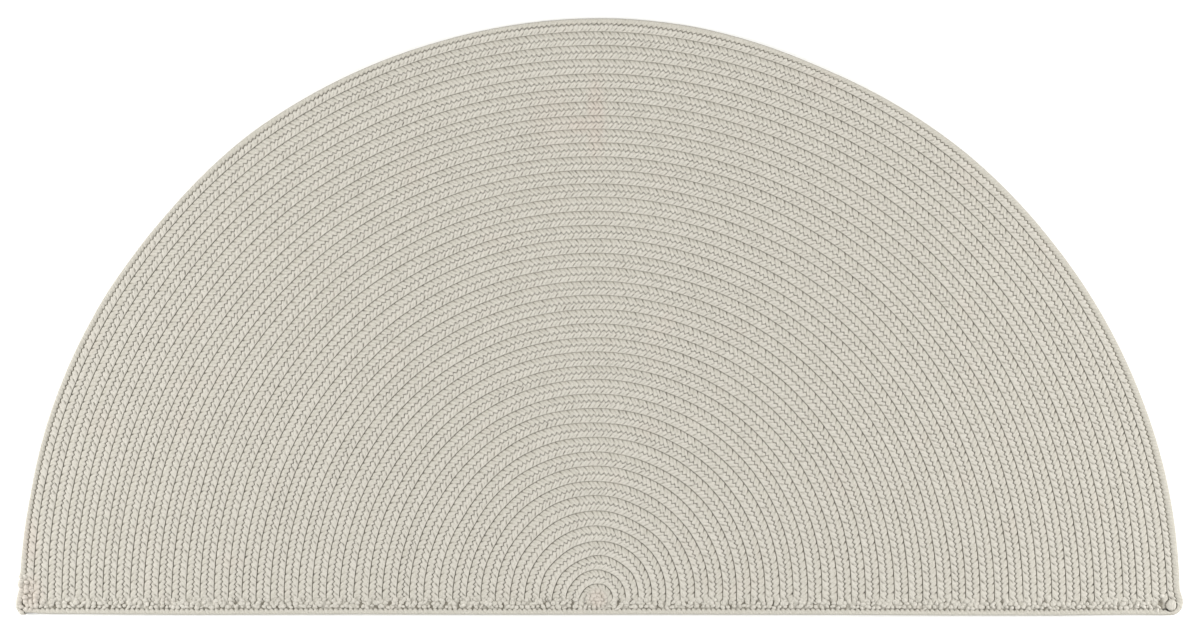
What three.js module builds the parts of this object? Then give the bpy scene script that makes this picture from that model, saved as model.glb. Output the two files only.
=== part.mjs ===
// Half-round braided rug lying flat on a floor. One length of thick heathered yarn braid is coiled
// and sewn turn to turn, cut straight across just below the start of the coil, and finished with a
// slim strip of the same yarn sewn round the whole rim. Each turn shows two rows of strands with a
// crease between them. Millimetres, +Z up, straight edge towards -Y, origin under the middle of the
// rug.

import * as THREE from 'three';

// The coil of braid
const TURNS = 40;                 // half turns between the bunched core and the rim
const BRAID_WIDTH = 14.7;         // one turn, from sewn joint to sewn joint
const INNER_ROW = 7.0;            // row of strands inside a turn's crease
const CORE_RADIUS = 10.4;         // bunched start of the coil
const RIM_ROW = 8.7;              // row outside the rim turn's crease, a little wider than the others
const CUT_BELOW_CENTRE = 8.9;     // straight cut, below the centre of the coil

// Heights above the floor
const CROWN_HEIGHT = 9;           // top of a row of strands
const CREASE_HEIGHT = 6.4;        // crease along the middle of a turn
const JOINT_HEIGHT = 7.4;         // sewn joint between two turns, and between the rim and the edge

// The edge strip
const EDGE_WIDTH = 6.5;
const SEWING_GAP = 0.3;           // between the edge strip and the braid that it is sewn to
const CORNER_ROUND = 5.2;         // at the right end of the straight side
const CORNER_SPLAY = 3.2;         // both ends of the rim turn spread outwards at the cut
const SPLAY_FADE = 6;             // how fast that spread dies out towards the inner turns
const TAIL_SHARE = 0.8;           // the strip's first few millimetres, in the left corner, are slimmer

// Fineness of the faces
const ARC_STEPS = 30;
const CORNER_STEPS = 4;
const FLOOR_HUB_HEIGHT = 200;     // where the faces of the flat underside meet

// The bunched core's section, outwards from its middle
const CORE_SECTION = [
  { across: 0, height: 8.4 },
  { across: 6.5, height: CROWN_HEIGHT },
  { across: CORE_RADIUS, height: JOINT_HEIGHT },
];

// A turn's section, outwards from the joint inside it
const TURN_SECTION = [
  { across: 3.6, height: CROWN_HEIGHT },
  { across: INNER_ROW, height: CREASE_HEIGHT },
  { across: 10.8, height: CROWN_HEIGHT },
  { across: BRAID_WIDTH, height: JOINT_HEIGHT },
];

// The edge strip's section, as shares of its width, up its inner side and down its outer side
const EDGE_SECTION = [
  { across: 0, height: 0 },
  { across: 0, height: 7.2 },
  { across: 0.22, height: 8.6 },
  { across: 0.5, height: CROWN_HEIGHT },
  { across: 0.8, height: 7.9 },
  { across: 1, height: 4.9 },
  { across: 1, height: 2.4 },
  { across: 0.85, height: 0 },
];

// The turns between the core and the rim sit a little further from the straight side
const TURN_LIFT = [
  { radius: 0, lift: 0 },
  { radius: 45, lift: 0.5 },
  { radius: 105, lift: 5.2 },
  { radius: 205, lift: 9 },
  { radius: 320, lift: 8.2 },
  { radius: 420, lift: 6.2 },
  { radius: 510, lift: 3.2 },
  { radius: 600, lift: 2.4 },
];

// The outline is a little uneven: how far it stands out from a true arc, by angle from +X
const RIM_BULGE = [
  { degrees: 0, bulge: 2.2 },
  { degrees: 18, bulge: 0.8 },
  { degrees: 38, bulge: -1.9 },
  { degrees: 68, bulge: -2.1 },
  { degrees: 88, bulge: 1.1 },
  { degrees: 126, bulge: 0.8 },
  { degrees: 144, bulge: -1.9 },
  { degrees: 162, bulge: -1.2 },
  { degrees: 180, bulge: -2.3 },
];

// The straight side waves by about a millimetre
const STRAIGHT_WAVE = [
  { x: -640, drop: -0.4 },
  { x: -540, drop: -0.4 },
  { x: -430, drop: 0.2 },
  { x: -250, drop: -0.2 },
  { x: -90, drop: 0.1 },
  { x: 60, drop: -0.1 },
  { x: 250, drop: 0.2 },
  { x: 360, drop: 0.9 },
  { x: 480, drop: 1 },
  { x: 560, drop: 0 },
  { x: 640, drop: 0 },
];

// The end of the strip narrows where it butts against its own beginning, in the left corner
const EDGE_NARROWING = [
  { x: -640, share: 0.7 },
  { x: -598, share: 0.72 },
  { x: -582, share: 1 },
  { x: 640, share: 1 },
];

// Value of a table's column between its two nearest rows
function between(table, key, column, at) {
  let row = 1;
  while (row < table.length - 1 && table[row][key] < at) {
    row += 1;
  }
  const before = table[row - 1];
  const after = table[row];
  const share = THREE.MathUtils.clamp((at - before[key]) / (after[key] - before[key]), 0, 1);
  return THREE.MathUtils.lerp(before[column], after[column], share);
}

const RIM_CREASE = CORE_RADIUS + (TURNS - 1) * BRAID_WIDTH + INNER_ROW;
const BODY_RADIUS = RIM_CREASE + RIM_ROW;

// A place on the turn of this radius, at an angle from +X
function onTurn(radius, angle) {
  const share = radius / BODY_RADIUS;
  const bulge = between(RIM_BULGE, 'degrees', 'bulge', THREE.MathUtils.radToDeg(angle));
  const reach = radius + bulge * share * share;
  const lift = between(TURN_LIFT, 'radius', 'lift', radius);
  return new THREE.Vector2(reach * Math.cos(angle), lift + reach * Math.sin(angle));
}

// Height of the straight cut at this place along it
function cutLine(x) {
  return -CUT_BELOW_CENTRE - between(STRAIGHT_WAVE, 'x', 'drop', x);
}

// Shared points and faces of one closed solid
class Skin {
  constructor() {
    this.points = [];
    this.faces = [];
    this.known = new Map();
  }

  point(x, y, z) {
    const key = [x, y, z].map((value) => value.toFixed(4)).join(' ');
    if (!this.known.has(key)) {
      this.known.set(key, this.points.length / 3);
      this.points.push(x, y, z);
    }
    return this.known.get(key);
  }

  triangle(a, b, c) {
    if (a !== b && b !== c && c !== a) {
      this.faces.push(a, b, c);
    }
  }

  quad(a, b, c, d) {
    this.triangle(a, b, c);
    this.triangle(a, c, d);
  }

  geometry() {
    const shape = new THREE.BufferGeometry();
    shape.setAttribute('position', new THREE.Float32BufferAttribute(this.points, 3));
    shape.setIndex(this.faces);
    shape.computeVertexNormals();
    return shape;
  }
}

// Crowns, creases and joints from the middle of the coil to the rim
function bodyProfile() {
  const rows = CORE_SECTION.map(({ across, height }) => ({ radius: across, height }));
  for (let turn = 0; turn < TURNS; turn += 1) {
    const joint = CORE_RADIUS + turn * BRAID_WIDTH;
    for (const { across, height } of TURN_SECTION) {
      rows.push({ radius: joint + across, height });
    }
  }
  rows.splice(-2);
  rows.push({ radius: BODY_RADIUS - CORNER_ROUND, height: CROWN_HEIGHT });
  rows.push({ radius: BODY_RADIUS, height: JOINT_HEIGHT });
  return rows;
}

// One turn seen from above: up from the cut at the left, over the arc and down to the cut
function turnPath(radius) {
  const path = [];
  for (let step = 0; step <= ARC_STEPS; step += 1) {
    path.push(onTurn(radius, Math.PI * (1 - step / ARC_STEPS)));
  }
  const splay = CORNER_SPLAY * (radius / BODY_RADIUS) ** SPLAY_FADE;
  const left = path[0].x - splay;
  const right = path[ARC_STEPS].x + splay;
  const roundedOff = radius > BODY_RADIUS - CORNER_ROUND / 2 ? CORNER_ROUND : 0;
  path.unshift(new THREE.Vector2(left, cutLine(left)));
  path.push(new THREE.Vector2(right, cutLine(right) + roundedOff));
  return path;
}

function rugBody() {
  const skin = new Skin();
  const turns = bodyProfile().map(({ radius, height }) => (
    turnPath(radius).map(({ x, y }) => ({ x, y, top: skin.point(x, y, height) }))
  ));
  for (let turn = 0; turn + 1 < turns.length; turn += 1) {
    const inner = turns[turn];
    const outer = turns[turn + 1];
    for (let step = 0; step + 1 < inner.length; step += 1) {
      skin.quad(inner[step].top, inner[step + 1].top, outer[step + 1].top, outer[step].top);
    }
  }

  const rim = turns[turns.length - 1];
  const leftEnds = turns.map((turn) => turn[0]).reverse();
  const rightEnds = turns.map((turn) => turn[turn.length - 1]).slice(1);
  const outline = [...leftEnds, ...rightEnds, ...rim.slice(1, -1).reverse()];
  const hub = skin.point(0, FLOOR_HUB_HEIGHT, 0);
  outline.forEach((from, index) => {
    const to = outline[(index + 1) % outline.length];
    const fromFloor = skin.point(from.x, from.y, 0);
    const toFloor = skin.point(to.x, to.y, 0);
    skin.quad(fromFloor, toFloor, to.top, from.top);
    skin.triangle(hub, toFloor, fromFloor);
  });
  return skin.geometry();
}

// Stations along the edge strip: a place on the body's outline, the way out from it, and the width
function edgeStations() {
  const stations = [];
  const add = (place, outX, outY, width) => {
    stations.push({ place, out: new THREE.Vector2(outX, outY), width });
  };
  const rim = turnPath(BODY_RADIUS);
  const springs = rim.slice(1, -1);
  const leftFoot = rim[0];
  const rightFoot = rim[rim.length - 1];

  const tailEnd = leftFoot.y - SEWING_GAP - EDGE_WIDTH;
  add(new THREE.Vector2(leftFoot.x, tailEnd), -1, 0, EDGE_WIDTH * TAIL_SHARE);
  add(new THREE.Vector2(leftFoot.x, leftFoot.y), -1, 0, EDGE_WIDTH);
  springs.forEach((place, step) => {
    const angle = Math.PI * (1 - step / ARC_STEPS);
    add(place, Math.cos(angle), Math.sin(angle), EDGE_WIDTH);
  });

  const cornerX = rightFoot.x - CORNER_ROUND;
  for (let step = 0; step <= CORNER_STEPS; step += 1) {
    const turned = (Math.PI / 2) * (step / CORNER_STEPS);
    const out = new THREE.Vector2(Math.cos(turned), -Math.sin(turned));
    const place = new THREE.Vector2(cornerX, rightFoot.y).addScaledVector(out, CORNER_ROUND);
    add(place, out.x, out.y, EDGE_WIDTH);
  }

  const knots = [...STRAIGHT_WAVE, ...EDGE_NARROWING].map(({ x }) => x);
  const along = knots.filter((x) => x > leftFoot.x + 1 && x < cornerX - 1).sort((a, b) => b - a);
  for (const x of [...along, leftFoot.x]) {
    const share = between(EDGE_NARROWING, 'x', 'share', x);
    add(new THREE.Vector2(x, cutLine(x)), 0, -1, EDGE_WIDTH * share);
  }
  return stations;
}

function edgeStrip() {
  const skin = new Skin();
  const rings = edgeStations().map(({ place, out, width }) => (
    EDGE_SECTION.map(({ across, height }) => {
      const reach = SEWING_GAP + across * width;
      return skin.point(place.x + out.x * reach, place.y + out.y * reach, height);
    })
  ));
  const sides = EDGE_SECTION.length;
  for (let station = 0; station + 1 < rings.length; station += 1) {
    const here = rings[station];
    const next = rings[station + 1];
    for (let side = 0; side < sides; side += 1) {
      const up = (side + 1) % sides;
      skin.quad(here[side], next[side], next[up], here[up]);
    }
  }
  const first = rings[0];
  const last = rings[rings.length - 1];
  for (let side = 1; side + 1 < sides; side += 1) {
    skin.triangle(first[0], first[side], first[side + 1]);
    skin.triangle(last[0], last[side + 1], last[side]);
  }
  return skin.geometry();
}

function yarnMesh(name, shape, color) {
  const yarn = new THREE.MeshStandardMaterial({ color, roughness: 0.95, metalness: 0 });
  const mesh = new THREE.Mesh(shape, yarn);
  mesh.name = name;
  return mesh;
}

const rug = new THREE.Group();
rug.add(yarnMesh('rug_body', rugBody(), 0xcfcbbe));
rug.add(yarnMesh('edge_strip', edgeStrip(), 0xcbc7b9));

// The origin is on the floor under the middle of the rug's box
const extent = new THREE.Box3().setFromObject(rug);
const middle = extent.getCenter(new THREE.Vector3());
rug.position.set(-middle.x, -middle.y, -extent.min.z);

export default rug;
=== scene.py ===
import math

import bpy
import numpy as np
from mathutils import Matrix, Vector


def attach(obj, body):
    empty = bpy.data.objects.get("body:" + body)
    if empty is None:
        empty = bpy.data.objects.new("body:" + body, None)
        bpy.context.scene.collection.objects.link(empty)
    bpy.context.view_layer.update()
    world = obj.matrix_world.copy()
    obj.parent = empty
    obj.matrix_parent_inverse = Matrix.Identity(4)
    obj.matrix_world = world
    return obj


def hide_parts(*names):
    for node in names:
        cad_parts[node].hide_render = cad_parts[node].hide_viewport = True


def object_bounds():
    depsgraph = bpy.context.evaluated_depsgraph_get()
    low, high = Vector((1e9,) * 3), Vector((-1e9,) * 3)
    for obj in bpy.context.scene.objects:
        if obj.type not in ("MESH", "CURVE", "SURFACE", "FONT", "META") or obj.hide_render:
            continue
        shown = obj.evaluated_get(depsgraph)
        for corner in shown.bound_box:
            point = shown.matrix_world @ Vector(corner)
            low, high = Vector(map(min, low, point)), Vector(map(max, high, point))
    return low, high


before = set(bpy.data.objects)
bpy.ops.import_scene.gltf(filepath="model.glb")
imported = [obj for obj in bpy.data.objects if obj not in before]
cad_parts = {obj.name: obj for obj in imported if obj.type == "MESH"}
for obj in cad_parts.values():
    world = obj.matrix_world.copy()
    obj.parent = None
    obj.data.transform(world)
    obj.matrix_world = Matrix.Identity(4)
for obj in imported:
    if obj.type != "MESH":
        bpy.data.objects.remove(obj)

cadLow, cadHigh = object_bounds()
print("frame loaded, box", [round(v, 4) for v in cadLow], [round(v, 4) for v in cadHigh])

mm = 0.001

# sizes of the coil, in mm, the same as in the solids
coil = {
    "turns": 40,
    "braidWidth": 14.7,      # one turn, from sewn joint to sewn joint
    "innerRow": 7.0,         # row of strands inside a turn's crease
    "coreRadius": 10.4,      # bunched start of the coil
    "rimRow": 8.7,           # row outside the rim turn's crease
    "cutBelow": 8.9,         # the straight cut, below the centre
    "edgeWidth": 6.5,
    "sewingGap": 0.3,
    "cornerRound": 5.2,
    "cornerSplay": 3.2,
    "splayFade": 40,
    "splayFrom": 22.0, "splayOver": 15.0,    # where the corners start to stand out, before the cut
    # radius, lift of the turn away from the straight side
    "turnLift": [(0, 0), (45, 0.5), (105, 5.2), (205, 9), (320, 8.2), (420, 6.2), (510, 3.2),
                 (600, 2.4)],
    # degrees from +X, how far the outline stands out there
    "rimBulge": [(0, 2.2), (18, 0.8), (38, -1.9), (68, -2.1), (88, 1.1), (126, 0.8), (144, -1.9),
                 (162, -1.2), (180, -2.3)],
    # the turns aren't perfect arcs: radius, then how far one stands off its arc at each of the angles
    "shiftAngles": [0, 15, 40, 65, 90, 105, 120, 135, 150, 165, 180],
    "turnShift": [(0, 0, 0, 0, 0, 0, 0, 0, 0, 0, 0, 0),
                  (17, -0.9, -0.5, 0.1, 0.2, -0.1, -0.1, -0.3, -0.5, -0.5, 0.5, 1.4),
                  (61, -4.0, -2.5, -1.2, -1.1, -1.4, -2.3, -2.7, -3.0, -2.0, -1.5, -1.0),
                  (106, -3.6, -2.4, -2.6, -2.7, -1.1, -0.8, -1.4, -2.4, -2.2, -0.8, 0.7),
                  (194, -2.7, -2.2, -2.0, -2.1, -1.2, -0.3, -0.9, -2.5, -3.7, -1.6, 1.3),
                  (282, -1.3, -1.1, -1.6, -2.2, -1.2, -0.7, -1.4, -1.6, -2.3, -1.4, 1.3),
                  (370, 0.4, -0.5, -0.9, -0.8, 0.4, 0.7, -0.4, -1.1, -1.1, -0.7, 1.3),
                  (458, 1.7, 1.1, 0.4, 0.5, 0.6, 0.9, 0.3, -0.2, 0.0, -0.1, 2.1),
                  (547, 2.4, 1.8, 1.6, 1.0, 0.8, 0.2, 0.0, 0.9, 0.2, -0.4, 0.8),
                  (591, 3.9, 2.4, 2.3, 1.6, 1.5, 0.8, 0.4, 0.9, 1.1, -0.1, 0.6),
                  (600, 1.8, 1.4, 1.5, 0.9, 0.3, -0.1, -0.1, -0.2, 0.6, -0.3, 0.0)],
    # place along the straight side, how far it drops there
    "straightWave": [(-640, -0.4), (-540, -0.4), (-430, 0.2), (-250, -0.2), (-90, 0.1), (60, -0.1),
                     (250, 0.2), (360, 0.9), (480, 1), (560, 0), (640, 0)],
}
coil["firstCrease"] = coil["coreRadius"] + coil["innerRow"]
coil["bodyRadius"] = coil["firstCrease"] + (coil["turns"] - 1) * coil["braidWidth"] + coil["rimRow"]


def fromTable(name, at):
    rows = np.array(coil[name], float)
    return np.interp(at, rows[:, 0], rows[:, 1])


def cutLine(x):
    return -coil["cutBelow"] - fromTable("straightWave", x)


def turnLength(midRadius):
    return 2 * (coil["cutBelow"] + fromTable("turnLift", midRadius)) + math.pi * midRadius


def turnShift(radius, degrees):
    table, angles = np.array(coil["turnShift"]), coil["shiftAngles"]
    row = np.interp(radius + 0 * degrees, table[:, 0], np.arange(len(table)))
    column = np.interp(degrees, angles, np.arange(len(angles)))
    i = np.minimum(row.astype(int), len(table) - 2)
    j = np.minimum(column.astype(int), len(angles) - 2)
    down, on = row - i, column - j
    value = table[:, 1:]
    inner = value[i, j] * (1 - on) + value[i, j + 1] * on
    outer = value[i + 1, j] * (1 - on) + value[i + 1, j + 1] * on
    return inner * (1 - down) + outer * down


# place of a point on a turn: its radius, and how far along a turn of midRadius it is
def onTurn(radius, along, midRadius, shifted=True):
    foot = coil["cutBelow"] + fromTable("turnLift", midRadius)
    length = turnLength(midRadius)
    angle = np.clip(math.pi - (along - foot) / midRadius, 0, math.pi)
    footShare = np.minimum(along, length - along) / foot
    share = radius / coil["bodyRadius"]
    reach = radius + fromTable("rimBulge", np.degrees(angle)) * share ** 2
    if shifted:
        reach = reach + turnShift(radius, np.degrees(angle))
    ends = np.minimum(along, length - along)
    flare = np.clip((coil["splayFrom"] - ends) / coil["splayOver"], 0, 1)
    splay = coil["cornerSplay"] * share ** coil["splayFade"] * flare * flare * (3 - 2 * flare)
    x = (reach + splay) * np.cos(angle)
    # the right corner is rounded off
    inCorner = np.clip(radius - (coil["bodyRadius"] - coil["cornerRound"]), 0, coil["cornerRound"])
    rounding = coil["cornerRound"] - np.sqrt(coil["cornerRound"] ** 2 - inCorner ** 2)
    cut = cutLine(x) + np.where(x > 0, rounding, 0)
    y = cut + (fromTable("turnLift", radius) - cut) * np.minimum(footShare, 1) + reach * np.sin(angle)
    return x, y


# the solids' origin is under the middle of their box, so the coil's centre is found from that box
leftReach = onTurn(coil["bodyRadius"], np.array([0.0]), coil["bodyRadius"], shifted=False)[0][0]
leftReach -= coil["sewingGap"] + coil["edgeWidth"]
lowReach = -coil["cutBelow"] - max(drop for _, drop in coil["straightWave"])
lowReach -= coil["sewingGap"] + coil["edgeWidth"]
coilCentre = Vector((cadLow.x - leftReach * mm, cadLow.y - lowReach * mm, 0))
print("coil centre", [round(v, 4) for v in coilCentre])


def toLinear(hexColour):
    values = [int(hexColour[i:i + 2], 16) / 255 for i in (1, 3, 5)]
    linear = [v / 12.92 if v <= 0.04045 else ((v + 0.055) / 1.055) ** 2.4 for v in values]
    return (*linear, 1)


def addNode(tree, kind, inputs=None, **settings):
    node = tree.nodes.new(kind)
    for name, value in settings.items():
        setattr(node, name, value)
    for socket, value in (inputs or {}).items():
        if isinstance(value, bpy.types.NodeSocket):
            tree.links.new(value, node.inputs[socket])
        else:
            node.inputs[socket].default_value = value
    return node


def newMaterial(name):
    material = bpy.data.materials.new(name)
    material.use_nodes = True
    material.node_tree.nodes.clear()
    return material, material.node_tree


# spun heathered yarn: matt, a little fuzzy, streaked along its fibres, with painted shade down in the
# grooves
yarnLook = {
    "light": "#c8c4ba", "middle": "#bcb8ae", "dark": "#aba79b",
    "deep": "#7a7569",       # what little light comes back out of a groove
    "blush": "#beada2", "blushShare": 0.6,
    "fibreWidth": 0.9,       # real fibres are far finer; drawn this coarse so that they show
    "fibreLength": 4.0,
    "heather": 1.3,          # mottling of light and dark fibres
    "heatherShare": 0.5, "fibreShare": 0.5,
    "toneShare": 0.1,        # strands differ a little; this also scales the painted shade of the inner row and of the strip
    "darkAt": 0.3, "middleAt": 0.5, "lightAt": 0.7,
    "patch": 45.0,           # slow drift of the dye
    "patchFrom": 0.62, "patchTo": 0.75, "patchMost": 0.1,
    "fibreRelief": 0.2,
    "strandWidth": 8.84, "yarns": 2,         # two yarns to a strand
    "lineWidth": 0.5, "lineRelief": 0.3, "lineShade": 0.29,      # between two of them
    # the line is neither straight nor even
    "uneven": (1.3, 0.35, 1), "sway": 0.14, "faintest": 0.6, "faintFrom": 0.3, "faintTo": 0.65,
    "roughness": 0.92, "sheen": 0.1, "sheenRoughness": 0.6, "specular": 0.2,
}


def yarnMaterial(name, look):
    material, tree = newMaterial(name)
    yarn = addNode(tree, "ShaderNodeAttribute", attribute_name="yarn")
    # groove carries the painted shade of creases, joints, grooves, holes and gaps
    groove = addNode(tree, "ShaderNodeAttribute", attribute_name="groove")
    blush = addNode(tree, "ShaderNodeAttribute", attribute_name="blush")
    tone = addNode(tree, "ShaderNodeAttribute", attribute_name="tone")
    ply = addNode(tree, "ShaderNodeAttribute", attribute_name="ply")
    place = addNode(tree, "ShaderNodeTexCoord")
    fibreAt = addNode(tree, "ShaderNodeMapping", {
        "Vector": yarn.outputs["Vector"],
        "Scale": (look["strandWidth"] / look["fibreWidth"], 1 / look["fibreLength"], 1)})
    fibre = addNode(tree, "ShaderNodeTexNoise", {
        "Vector": fibreAt.outputs["Vector"], "Scale": 1.0, "Detail": 2.0, "Roughness": 0.6})
    heather = addNode(tree, "ShaderNodeTexNoise", {
        "Vector": place.outputs["Object"], "Scale": 1 / (look["heather"] * mm), "Detail": 2.0,
        "Roughness": 0.6})
    patch = addNode(tree, "ShaderNodeTexNoise", {
        "Vector": place.outputs["Object"], "Scale": 1 / (look["patch"] * mm), "Detail": 2.0})

    strandTone = addNode(tree, "ShaderNodeMath", {
        0: tone.outputs["Fac"], 1: look["toneShare"]}, operation="MULTIPLY")
    mottle = addNode(tree, "ShaderNodeMath", {
        0: heather.outputs["Fac"], 1: look["heatherShare"], 2: strandTone.outputs[0]},
        operation="MULTIPLY_ADD")
    shade = addNode(tree, "ShaderNodeMath", {
        0: fibre.outputs["Fac"], 1: look["fibreShare"], 2: mottle.outputs[0]},
        operation="MULTIPLY_ADD")
    dyed = addNode(tree, "ShaderNodeValToRGB", {"Fac": shade.outputs[0]})
    ramp = dyed.color_ramp
    ramp.elements[0].position = look["darkAt"]
    ramp.elements[0].color = toLinear(look["dark"])
    ramp.elements[1].position = look["lightAt"]
    ramp.elements[1].color = toLinear(look["light"])
    ramp.elements.new(look["middleAt"]).color = toLinear(look["middle"])
    drift = addNode(tree, "ShaderNodeMapRange", {
        "Value": patch.outputs["Fac"], "From Min": look["patchFrom"], "From Max": look["patchTo"],
        "To Min": 0.0, "To Max": look["patchMost"]})
    blushShare = addNode(tree, "ShaderNodeMath", {
        0: blush.outputs["Fac"], 1: look["blushShare"], 2: drift.outputs[0]}, operation="MULTIPLY_ADD",
        use_clamp=True)
    # an uneven line between any two yarns of a strand, drawn as painted shade and as a bump
    split = addNode(tree, "ShaderNodeSeparateXYZ", {"Vector": yarn.outputs["Vector"]})
    unevenAt = addNode(tree, "ShaderNodeMapping", {
        "Vector": yarn.outputs["Vector"], "Scale": look["uneven"]})
    uneven = addNode(tree, "ShaderNodeTexNoise", {
        "Vector": unevenAt.outputs["Vector"], "Scale": 1.0, "Detail": 1.0})
    swayed = addNode(tree, "ShaderNodeMath", {
        0: uneven.outputs["Fac"], 1: look["sway"], 2: split.outputs["X"]}, operation="MULTIPLY_ADD")
    inYarns = addNode(tree, "ShaderNodeMath", {
        0: swayed.outputs[0], 1: look["yarns"]}, operation="MULTIPLY")
    fromLine = addNode(tree, "ShaderNodeMath", {0: inYarns.outputs[0], 1: 0.5}, operation="PINGPONG")
    line = addNode(tree, "ShaderNodeMapRange", {
        "Value": fromLine.outputs[0], "From Min": 0.0,
        "From Max": look["yarns"] * look["lineWidth"] / look["strandWidth"],
        "To Min": 1.0, "To Max": 0.0}, interpolation_type="SMOOTHSTEP")
    strength = addNode(tree, "ShaderNodeMapRange", {
        "Value": uneven.outputs["Fac"], "From Min": look["faintFrom"], "From Max": look["faintTo"],
        "To Min": look["faintest"], "To Max": 1.0})
    parted = addNode(tree, "ShaderNodeMath", {
        0: strength.outputs[0], 1: ply.outputs["Fac"]}, operation="MULTIPLY")
    drawn = addNode(tree, "ShaderNodeMath", {
        0: line.outputs[0], 1: parted.outputs[0]}, operation="MULTIPLY")
    # painted shade: the lines between yarns and the groove attribute mix the colour towards the deep one
    shaded = addNode(tree, "ShaderNodeMath", {
        0: drawn.outputs[0], 1: look["lineShade"], 2: groove.outputs["Fac"]}, operation="MULTIPLY_ADD",
        use_clamp=True)
    tinted = addNode(tree, "ShaderNodeMix", {
        "Factor": blushShare.outputs[0], 6: dyed.outputs["Color"], 7: toLinear(look["blush"])},
        data_type="RGBA")
    colour = addNode(tree, "ShaderNodeMix", {
        "Factor": shaded.outputs[0], 6: tinted.outputs[2], 7: toLinear(look["deep"])},
        data_type="RGBA")

    fuzz = addNode(tree, "ShaderNodeMath", {
        0: fibre.outputs["Fac"], 1: look["fibreRelief"]}, operation="MULTIPLY")
    relief = addNode(tree, "ShaderNodeMath", {
        0: drawn.outputs[0], 1: -look["lineRelief"], 2: fuzz.outputs[0]}, operation="MULTIPLY_ADD")
    bump = addNode(tree, "ShaderNodeBump", {
        "Height": relief.outputs[0], "Strength": 1.0, "Distance": mm})
    shader = addNode(tree, "ShaderNodeBsdfPrincipled", {
        "Base Color": colour.outputs[2], "Roughness": look["roughness"],
        "Normal": bump.outputs["Normal"], "Sheen Weight": look["sheen"],
        "Sheen Roughness": look["sheenRoughness"], "Specular IOR Level": look["specular"]})
    addNode(tree, "ShaderNodeOutputMaterial", {"Surface": shader.outputs["BSDF"]})
    return material


def gridQuads(index):
    return np.stack([index[:-1, :-1], index[:-1, 1:], index[1:, 1:], index[1:, :-1]], -1).reshape(-1, 4)


def splitQuads(quads):
    triangles = np.concatenate([quads[:, [0, 1, 2]], quads[:, [0, 2, 3]]])
    a, b, c = triangles.T
    return triangles[(a != b) & (b != c) & (c != a)]


# triangles between two rows whose points don't stand opposite each other
def zipRows(first, firstAt, second, secondAt):
    isFirst = np.concatenate([np.ones(len(first) - 1, bool), np.zeros(len(second) - 1, bool)])
    isFirst = isFirst[np.argsort(np.concatenate([firstAt[1:], secondAt[1:]]), kind="stable")]
    i = np.cumsum(isFirst) - isFirst
    j = np.cumsum(~isFirst) - ~isFirst
    nextFirst = first[np.minimum(i + 1, len(first) - 1)]
    nextSecond = second[np.minimum(j + 1, len(second) - 1)]
    third = np.where(isFirst, nextFirst, nextSecond)
    return np.stack([first[i], third, second[j]], 1)


# places where the dye is a little pinker: middle, half width, half depth, how much
dyeDrift = [(1.0, 2.0, 10, 10, 0.55), (-1, 505, 9, 45, 0.5), (-18, 497, 14, 9, 0.45),
            (-45, 505, 26, 34, 0.2), (-592, 62, 9, 24, 0.4), (-592, 8, 14, 18, 0.5)]


def blushAt(places):
    share = np.zeros(len(places))
    for x, y, wide, deep, most in dyeDrift:
        far = ((places[:, 0] - x) / wide) ** 2 + ((places[:, 1] - y) / deep) ** 2
        share = np.maximum(share, most * np.exp(-far ** 2))
    return share


# a mesh object from arrays of points in mm about the coil's centre, quads and triangles
def pieceFromArrays(name, points, quads, triangles, attributes, material):
    mesh = bpy.data.meshes.new(name)
    places = np.asarray(points, float) * mm + np.array(coilCentre)
    quads = np.asarray(quads, np.int64).reshape(-1, 4)
    triangles = np.asarray(triangles, np.int64).reshape(-1, 3)
    corners = np.concatenate([quads.ravel(), triangles.ravel()])
    sizes = np.concatenate([np.full(len(quads), 4), np.full(len(triangles), 3)])
    starts = np.concatenate([[0], np.cumsum(sizes)[:-1]])
    mesh.vertices.add(len(places))
    mesh.vertices.foreach_set("co", places.astype(np.float32).ravel())
    mesh.loops.add(len(corners))
    mesh.loops.foreach_set("vertex_index", corners.astype(np.int32))
    mesh.polygons.add(len(sizes))
    mesh.polygons.foreach_set("loop_start", starts.astype(np.int32))
    mesh.update(calc_edges=True)
    mesh.validate()
    mesh.polygons.foreach_set("use_smooth", np.ones(len(mesh.polygons), bool))
    for key, values in attributes.items():
        values = np.asarray(values, np.float32)
        kind, field = ("FLOAT", "value") if values.ndim == 1 else ("FLOAT_VECTOR", "vector")
        mesh.attributes.new(key, kind, "POINT").data.foreach_set(field, values.ravel())
    piece = bpy.data.objects.new(name, mesh)
    bpy.context.scene.collection.objects.link(piece)
    mesh.materials.append(material)
    print(name, len(places), "points,", 2 * len(quads) + len(triangles), "triangles")
    return piece


def smoothNoise(draw, shape):
    noise = draw.normal(0, 1, shape)
    for axis in (0, 1):
        noise = (noise + np.roll(noise, 1, axis) + np.roll(noise, -1, axis)) / 2.2
    return noise


def jointBase(joint):
    if joint == coil["turns"] - 1:
        return coil["bodyRadius"]
    return coil["coreRadius"] + (joint + 1) * coil["braidWidth"]


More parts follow.
